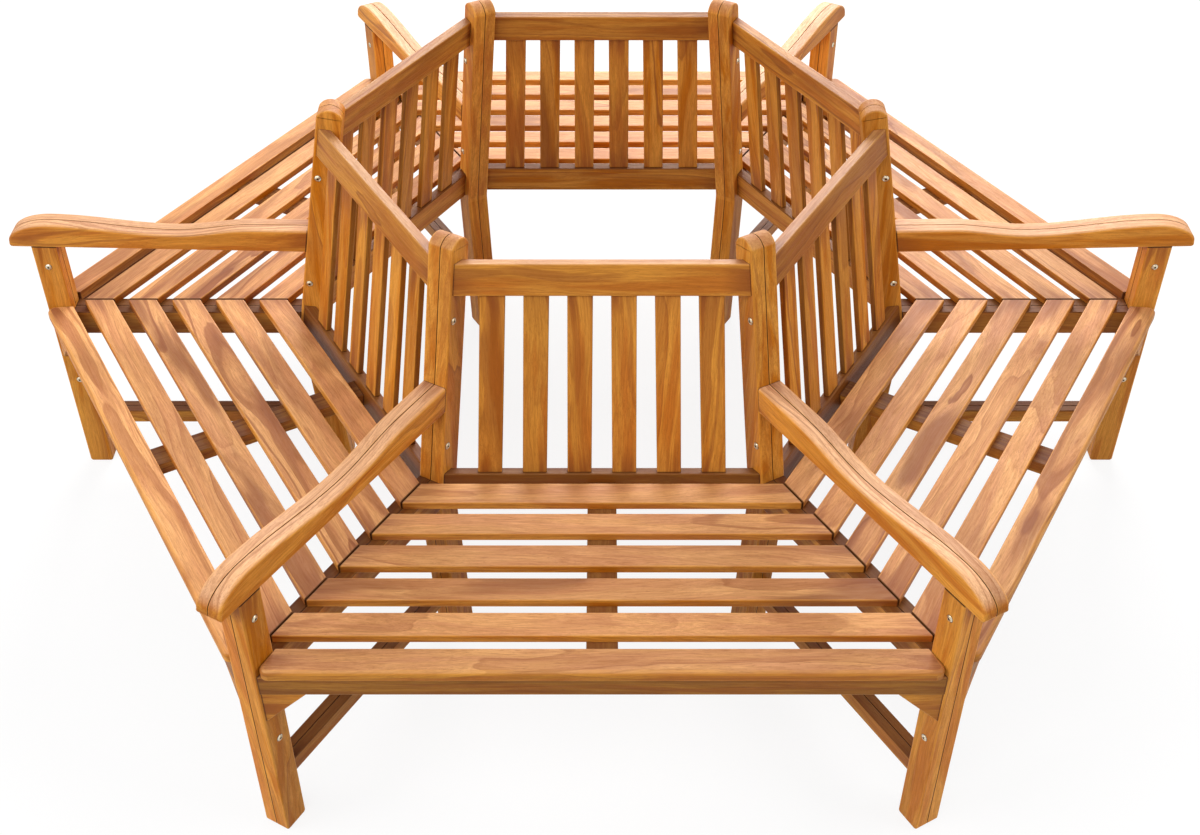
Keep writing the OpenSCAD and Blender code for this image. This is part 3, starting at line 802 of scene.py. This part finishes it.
# Shares of a ring's width: where it starts to darken, where its thin line starts, its darkest.
RING_START, LINE_START, RING_DARKEST = 0.05, 0.80, 0.94

# The noise between which streaks, clouds, fibre, pores and polish grow from none to full.
STREAK_RANGE, CLOUD_RANGE, FIBRE_RANGE = (0.47, 0.62), (0.36, 0.60), (0.30, 0.70)
PORE_RANGE, WEAR_RANGE = (0.60, 0.70), (0.3, 0.65)


def figure_group():
    """Growth rings, heartwood, clouds, fibre and pores, from a place in the log.

    The place is bent by slow and by quick noise, both stretched along the log. Its distance
    from the pith is moved again by noise along itself, which makes the rings uneven. Each
    ring darkens slowly outwards, ends in a thin line, and has its own strength.
    """
    tree, n, given, out = new_group(
        "wood_figure", {"Place": "NodeSocketVector"},
        {"Band": "NodeSocketFloat", "Line": "NodeSocketFloat", "Heart": "NodeSocketFloat",
         "Cloud": "NodeSocketFloat", "Fibre": "NodeSocketFloat", "Pore": "NodeSocketFloat"})
    place = given["Place"]
    slow = n.noise(n.vector("MULTIPLY", place, SLOW_BENDS), 2.0).outputs["Color"]
    quick = n.noise(n.vector("MULTIPLY", place, QUICK_BENDS), 2.0).outputs["Color"]
    bent = n.vector("ADD", place, n.scaled(n.vector("SUBTRACT", slow, NOISE_MIDDLE), SLOW_REACH))
    bent = n.vector("ADD", bent, n.scaled(n.vector("SUBTRACT", quick, NOISE_MIDDLE), QUICK_REACH))
    radius = n.add("ShaderNodeVectorMath", {0: n.vector("MULTIPLY", bent, (0.0, 1.0, 1.0))},
                   operation="LENGTH").outputs["Value"]
    uneven = n.noise(n.scaled(radius, UNEVEN_SCALE), 1.0).outputs["Fac"]
    rings = n.math("ADD", n.math("MULTIPLY", radius, RING_COUNT),
                   n.math("MULTIPLY", uneven, UNEVEN_REACH))
    step, year = n.math("FRACT", rings), n.math("FLOOR", rings)
    strength = n.add("ShaderNodeTexWhiteNoise", {"W": year}, noise_dimensions="1D").outputs["Value"]
    fall = n.ramp(step, RING_DARKEST, 1.0, 1.0, 0.0)
    rise = n.ramp(step, RING_START, RING_DARKEST)
    band = n.math("MULTIPLY", n.math("MULTIPLY", rise, fall), n.ramp(strength, 0.15, 0.9, 0.1, 1.0))
    n.link(band, out["Band"])
    thin = n.ramp(step, LINE_START, RING_DARKEST)
    line = n.math("MULTIPLY", n.math("MULTIPLY", thin, fall), n.ramp(strength, 0.45, 1.0))
    n.link(line, out["Line"])
    xyz = n.add("ShaderNodeSeparateXYZ", {0: bent}).outputs
    wide = n.add("ShaderNodeCombineXYZ", {
        0: n.math("MULTIPLY", xyz[0], STREAKS_ALONG),
        1: n.math("MULTIPLY", radius, STREAKS_OUT),
        2: n.math("MULTIPLY", xyz[1], STREAKS_ACROSS)}).outputs[0]
    heart = n.noise(wide, 2.5).outputs["Fac"]
    n.link(n.ramp(heart, *STREAK_RANGE), out["Heart"])
    cloud = n.noise(n.vector("MULTIPLY", bent, CLOUDS), 2.5).outputs["Fac"]
    n.link(n.ramp(cloud, *CLOUD_RANGE), out["Cloud"])
    fibre = n.noise(n.vector("MULTIPLY", bent, FIBRES), 5.0, 0.76).outputs["Fac"]
    n.link(n.ramp(fibre, *FIBRE_RANGE), out["Fibre"])
    pore = n.noise(n.vector("MULTIPLY", bent, PORES), 1.0).outputs["Fac"]
    n.link(n.ramp(pore, *PORE_RANGE), out["Pore"])
    return tree


def wear_and_highlight_group():
    """Where an eased edge is polished by handling and carries a painted highlight, broken up by
    noise.
    """
    tree, n, given, out = new_group(
        "edge_wear_and_highlight", {"Edge": "NodeSocketFloat", "Place": "NodeSocketVector"},
        {"Worn and highlit": "NodeSocketFloat"})
    patches = n.noise(n.vector("MULTIPLY", given["Place"], WEAR_PATCHES), 3.0).outputs["Fac"]
    worn_highlit = n.math("MULTIPLY", given["Edge"], n.ramp(patches, *WEAR_RANGE, 0.25, 1.0))
    n.link(worn_highlit, out["Worn and highlit"])
    return tree


# The colours of teak, as seen, with a pale one painted as sheen on faces that look up and a dark one
# painted as shade on tops in shelter.
HONEY, GOLDEN, ROSY, TOP_SHEEN = (238, 168, 82), (208, 126, 38), (214, 136, 70), (246, 196, 152)
BROWN, HEART, LATE_WOOD = (146, 80, 28), (130, 70, 40), (168, 96, 54)
SHELTER_SHADE, JOINT_LINE = (96, 48, 16), (62, 30, 12)

# How far up a face looks where it starts to be a top and where it is one fully, the lightness
# that one unit of tone adds, and the distance from an end within which the wood is darker.
LOOKS_UP = (0.35, 0.95)
TONE_STEP = 0.09
SOAKED_END = 0.07

# The distances from a joint between which its dark line ends, and how dark it is at most.
JOINT_REACH, JOINT_SHARE = (0.0006, 0.0026), 0.85

# How much of each colour is mixed in at most.
TOP_SHEEN_SHARE, FIBRE_SHARE, PORE_SHARE, END_SHARE, EDGE_HIGHLIGHT_SHARE = 0.40, 0.48, 0.35, 0.45, 0.40

# The same on a board with little dark heartwood and with much; at a soaked end outside a cloud and
# within one; and of painted shade on a top with no painted light and on one with full painted light.
RING_SHARES, HEART_SHARES, LINE_SHARES = (0.30, 0.54), (0.12, 0.72), (0.14, 0.58)
SOAKED_SHARES, SHELTER_SHADE_SHARES = (0.55, 0.15), (0.78, 0.0)

# Roughness: of plain wood, what fibre and end grain add, and what polish takes off.
PLAIN_ROUGH, FIBRE_ROUGH, END_ROUGH, POLISH_SMOOTH = 0.46, 0.14, 0.12, 0.10

# Relief: how far fibre and pores lie below and ring lines above, compared with each other.
FIBRE_RELIEF, PORE_RELIEF, LINE_RELIEF = -0.5, -1.0, 0.3


def teak(figure_tree, wear_and_highlight_tree):
    """Oiled teak: honey to golden brown, with heartwood streaks, darker ends and seams.

    Faces that look up carry a painted sheen, paler and less saturated than the sides, and a painted
    shade where they lie in shelter; the eased edges carry a painted highlight, and the long edges of
    some boards painted light and shade.
    """
    material = bpy.data.materials.new("oiled_teak")
    material.use_nodes = True
    n = Nodes(material.node_tree)
    shader = material.node_tree.nodes["Principled BSDF"]
    place = n.add("ShaderNodeAttribute", attribute_name="grain").outputs["Vector"]
    cut, tone, ends = (n.add("ShaderNodeSeparateXYZ", {
        0: n.add("ShaderNodeAttribute", attribute_name=name).outputs["Vector"]}).outputs
        for name in ("cut", "tone", "ends"))
    figure = n.add("ShaderNodeGroup", {"Place": place}, node_tree=figure_tree).outputs
    wear_and_highlight = n.add("ShaderNodeGroup", {"Edge": cut[0], "Place": place}, node_tree=wear_and_highlight_tree)
    worn_highlit = wear_and_highlight.outputs["Worn and highlit"]
    normal = n.add("ShaderNodeNewGeometry").outputs["Normal"]
    facing = n.add("ShaderNodeSeparateXYZ", {0: normal}).outputs[2]
    honey, brown, heart = srgb(*HONEY), srgb(*BROWN), srgb(*HEART)

    # The wood's own colour, and a painted sheen on the faces that look up.
    colour = n.mix(tone[1], srgb(*GOLDEN), srgb(*ROSY))
    colour = n.mix(figure["Cloud"], colour, honey)
    sunned = n.math("MULTIPLY", n.math("MULTIPLY", n.ramp(facing, *LOOKS_UP), ends[2]), TOP_SHEEN_SHARE)
    colour = n.mix(sunned, colour, srgb(*TOP_SHEEN))

    # Rings, heartwood, ring lines, fibre and pores.
    banded = n.math("MULTIPLY", figure["Band"], n.ramp(tone[2], 0.0, 0.6, *RING_SHARES))
    colour = n.mix(banded, colour, srgb(*LATE_WOOD))
    dark = n.math("MULTIPLY", figure["Heart"], n.ramp(tone[2], 0.1, 1.0, *HEART_SHARES))
    colour = n.mix(dark, colour, heart)
    lined = n.math("MULTIPLY", figure["Line"], n.ramp(tone[2], 0.0, 0.6, *LINE_SHARES))
    colour = n.mix(lined, colour, heart)
    colour = n.mix(n.math("MULTIPLY", figure["Fibre"], FIBRE_SHARE), colour, brown)
    colour = n.mix(n.math("MULTIPLY", figure["Pore"], PORE_SHARE), colour, heart)

    # Soaked ends, end grain, a painted highlight on the eased edges, and painted shade on tops in
    # shelter.
    nearest = n.math("MINIMUM", ends[0], ends[1])
    near = n.ramp(nearest, 0.0, SOAKED_END, 1.0, 0.0)
    soaked = n.math("MULTIPLY", near, n.ramp(figure["Cloud"], 0.0, 1.0, *SOAKED_SHARES))
    colour = n.mix(soaked, colour, heart)
    colour = n.mix(n.math("MULTIPLY", cut[1], END_SHARE), colour, brown)
    # A painted highlight along the eased edges.
    colour = n.mix(n.math("MULTIPLY", worn_highlit, EDGE_HIGHLIGHT_SHARE), colour, honey)
    # Painted shade on the faces that look up of boards in shelter, such as the bearers under the
    # seat.
    shelter_shade = n.ramp(ends[2], 0.0, 1.0, *SHELTER_SHADE_SHARES)
    colour = n.mix(n.math("MULTIPLY", n.ramp(facing, 0.02, 0.14), shelter_shade), colour, srgb(*SHELTER_SHADE))

    # Each board's own lightness with the light and shade painted on its long edges, sides painted a
    # little richer than tops, and the dark lines of its joints and seam.
    light = n.math("ADD", n.math("MULTIPLY", tone[0], TONE_STEP), 1.0)
    # Sides painted a little more saturated than tops, with the painted sheen above.
    side_richness = n.ramp(facing, *LOOKS_UP, 1.04, 1.0)
    colour = n.add("ShaderNodeHueSaturation",
                   {"Color": colour, "Value": light, "Saturation": side_richness}).outputs[0]
    joint = n.ramp(nearest, *JOINT_REACH, JOINT_SHARE, 0.0)
    seam = n.ramp(cut[2], 0.35, 0.75)
    colour = n.mix(n.math("MAXIMUM", seam, joint), colour, srgb(*JOINT_LINE))
    n.link(colour, shader.inputs["Base Color"])

    # Shine, and fine relief.
    shader.inputs["Specular IOR Level"].default_value = 0.2
    rough = n.math("ADD", n.math("MULTIPLY", figure["Fibre"], FIBRE_ROUGH), PLAIN_ROUGH)
    rough = n.math("SUBTRACT", rough, n.math("MULTIPLY", worn_highlit, POLISH_SMOOTH))
    rough = n.math("ADD", rough, n.math("MULTIPLY", cut[1], END_ROUGH))
    n.link(rough, shader.inputs["Roughness"])
    relief = n.math("ADD", n.math("MULTIPLY", figure["Fibre"], FIBRE_RELIEF),
                    n.math("MULTIPLY", figure["Pore"], PORE_RELIEF))
    relief = n.math("ADD", relief, n.math("MULTIPLY", figure["Line"], LINE_RELIEF))
    bump = n.add("ShaderNodeBump", {"Strength": 0.35, "Distance": 0.0004, "Height": relief})
    n.link(bump.outputs[0], shader.inputs["Normal"])
    return material


# The colours of the plated steel, as seen, with a dark one for its painted shade, and the scales of
# its noises, in changes a metre.
BRIGHT, DULL, SOCKET_SHADE = (226, 214, 190), (176, 156, 122), (60, 36, 20)
DULL_SCALE, MARK_SCALE = 260.0, 2600.0


def steel():
    """Plated steel: fine marks, dulled patches, and painted shade where the mesh says so."""
    material = bpy.data.materials.new("plated_steel")
    material.use_nodes = True
    n = Nodes(material.node_tree)
    shader = material.node_tree.nodes["Principled BSDF"]
    shader.inputs["Metallic"].default_value = 1.0
    here = n.add("ShaderNodeTexCoord").outputs["Object"]
    dull = n.noise(n.scaled(here, DULL_SCALE), 3.0).outputs["Fac"]
    marks = n.noise(n.scaled(here, MARK_SCALE), 2.0).outputs["Fac"]
    colour = n.mix(n.ramp(dull, 0.35, 0.7), srgb(*BRIGHT), srgb(*DULL))
    socket_shade = n.add("ShaderNodeAttribute", attribute_name="socket_shade").outputs["Fac"]
    # Painted shade at the rim and in the socket.
    colour = n.mix(socket_shade, colour, srgb(*SOCKET_SHADE))
    n.link(colour, shader.inputs["Base Color"])
    n.link(n.ramp(dull, 0.2, 0.8, 0.22, 0.45), shader.inputs["Roughness"])
    bump = n.add("ShaderNodeBump", {"Strength": 0.2, "Distance": 0.0001, "Height": marks})
    n.link(bump.outputs[0], shader.inputs["Normal"])
    return material


TEAK = teak(figure_group(), wear_and_highlight_group())
STEEL = steel()

# ---- the bench ---------------------------------------------------------------------------

for i in EACH:
    wooden(f"front_board_{i}", [front_board(i)])
    wooden(f"seat_slats_{i}", seat_slats(i))
    wooden(f"front_apron_{i}", [front_apron(i)])
    wooden(f"top_rail_{i}", [rail("top rail", i, TOP_RAIL_LOW, TOP_RAIL_TOP)])
    wooden(f"lower_rail_{i}", [rail("lower rail", i, LOWER_RAIL_LOW, LOWER_RAIL_TOP)])
    wooden(f"back_slats_{i}", back_slats(i))
    wooden(f"front_legs_{i}", [half_leg(i, side) for side in BOTH])
    wooden(f"back_posts_{i}", [half_post(i, side) for side in BOTH])
    wooden(f"arms_{i}", [half_arm(i, side) for side in BOTH])
wooden("apron_brackets", [apron_bracket(i, side) for i in EACH for side in BOTH])
wooden("seat_bearers", [side_bearer(i, side) for i in EACH for side in BOTH]
       + [mid_bearer(i) for i in EACH])
wooden("leg_stretchers", [stretcher(i, side) for i in EACH for side in BOTH])
fasteners("corner_bolts", 1, BOLT_RADIUS, 2 * FRAME_THICK - SLEEVE_LENGTH / 2)
fasteners("sleeve_nuts", -1, SLEEVE_RADIUS, SLEEVE_LENGTH)

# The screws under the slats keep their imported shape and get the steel.
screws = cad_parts["slat_screws"]
screws.data.materials.clear()
screws.data.materials.append(STEEL)

# ---- floor, light and camera -------------------------------------------------------------

# The ground's half width and how far it lies below the feet, its colour for the light and for
# the camera, and the distances between which it turns white.
GROUND_HALF, GROUND_DROP = 30.0, 0.2 * MM
GROUND_LIT, GROUND_SEEN = (0.42, 0.42, 0.42, 1), (0.9, 0.9, 0.9, 1)
GROUND_NEAR, GROUND_FAR = 1.5, 5.0
WHITE = (1, 1, 1, 1)

# The strength of the white surroundings as a light.
SKY_LIGHT = 0.36

# Each lamp's place, width, depth and power. All look at one point in the bench.
LAMPS = {
    "left": ((-5.2, -2.0, 3.8), 3.5, 3.0, 190),
    "right": ((5.2, -1.4, 3.8), 3.5, 3.0, 150),
    "front": ((-2.4, -6.0, 6.4), 5.0, 4.0, 270),
    "behind": ((0.6, 4.6, 3.2), 4.0, 3.0, 430),
}
LAMP_AIM = (0, 0, 0.4)

# The camera's place, how far it looks down in radians, and its lens and sensor in millimetres.
EYE_PLACE, EYE_DOWN = (-0.0035, -2.6314, 2.3175), 0.699
LENS, SENSOR = 46.2, 36.0


def floor():
    """A pale level ground, brighter to the camera than to the bench, that keeps its shadow.

    It is white far from the bench, and clear from below.
    """
    mesh = bpy.data.meshes.new("ground")
    corners = np.array([[-1, -1, 0], [1, -1, 0], [1, 1, 0], [-1, 1, 0]]) * GROUND_HALF
    mesh.from_pydata((corners - UP * GROUND_DROP).tolist(), [], [[0, 1, 2, 3]])
    ground = bpy.data.objects.new("ground", mesh)
    bpy.context.scene.collection.objects.link(ground)
    material = bpy.data.materials.new("pale_ground")
    material.use_nodes = True
    n = Nodes(material.node_tree)
    shader = material.node_tree.nodes["Principled BSDF"]
    shader.inputs["Roughness"].default_value = 0.9
    shader.inputs["Specular IOR Level"].default_value = 0.0
    seen = shown(n)
    n.link(n.mix(seen, GROUND_LIT, GROUND_SEEN), shader.inputs["Base Color"])
    white = n.add("ShaderNodeEmission", {"Color": WHITE, "Strength": 1.0}).outputs[0]
    here = n.add("ShaderNodeTexCoord").outputs["Object"]
    far = n.add("ShaderNodeVectorMath", {0: here}, operation="LENGTH").outputs["Value"]
    share = n.math("MULTIPLY", seen, n.ramp(far, GROUND_NEAR, GROUND_FAR, 0.85, 1.0))
    both = n.add("ShaderNodeMixShader", {0: share, 1: shader.outputs[0], 2: white}).outputs[0]
    clear = n.add("ShaderNodeBsdfTransparent").outputs[0]
    below = n.math("MULTIPLY", seen, n.add("ShaderNodeNewGeometry").outputs["Backfacing"])
    ground_shader = n.add("ShaderNodeMixShader", {0: below, 1: both, 2: clear}).outputs[0]
    n.link(ground_shader, material.node_tree.nodes["Material Output"].inputs["Surface"])
    mesh.materials.append(material)


def shown(n):
    """1 for what the camera sees, also in a reflection or through a surface."""
    path = n.add("ShaderNodeLightPath").outputs
    bounced = n.math("MAXIMUM", path["Is Glossy Ray"], path["Is Transmission Ray"])
    return n.math("MAXIMUM", path["Is Camera Ray"], bounced)


def soft_lamp(name, place, width, depth, power):
    """A wide soft lamp at a place, turned towards the bench."""
    lamp = bpy.data.lights.new(name, "AREA")
    lamp.shape, lamp.size, lamp.size_y = "RECTANGLE", width, depth
    lamp.energy = power
    holder = bpy.data.objects.new(name, lamp)
    holder.location = place
    holder.rotation_euler = (Vector(LAMP_AIM) - Vector(place)).to_track_quat("-Z", "Y").to_euler()
    bpy.context.scene.collection.objects.link(holder)


def studio():
    """White surroundings, and soft lamps at both sides, high in front and behind."""
    world = bpy.data.worlds.new("studio")
    bpy.context.scene.world = world
    world.use_nodes = True
    n = Nodes(world.node_tree)
    back = world.node_tree.nodes["Background"]
    back.inputs["Color"].default_value = WHITE
    n.link(n.ramp(shown(n), 0.0, 1.0, SKY_LIGHT, 1.0), back.inputs["Strength"])
    for name, settings in LAMPS.items():
        soft_lamp(name, *settings)


def camera():
    """The camera stands in front of seat 1 and looks down at the bench."""
    lens = bpy.data.cameras.new("camera")
    lens.lens, lens.sensor_width = LENS, SENSOR
    eye = bpy.data.objects.new("camera", lens)
    eye.location = EYE_PLACE
    eye.rotation_euler = (pi / 2 - EYE_DOWN, 0, 0)
    bpy.context.scene.collection.objects.link(eye)
    bpy.context.scene.camera = eye


floor()
studio()
camera()
bpy.context.scene.view_settings.view_transform = "Standard"
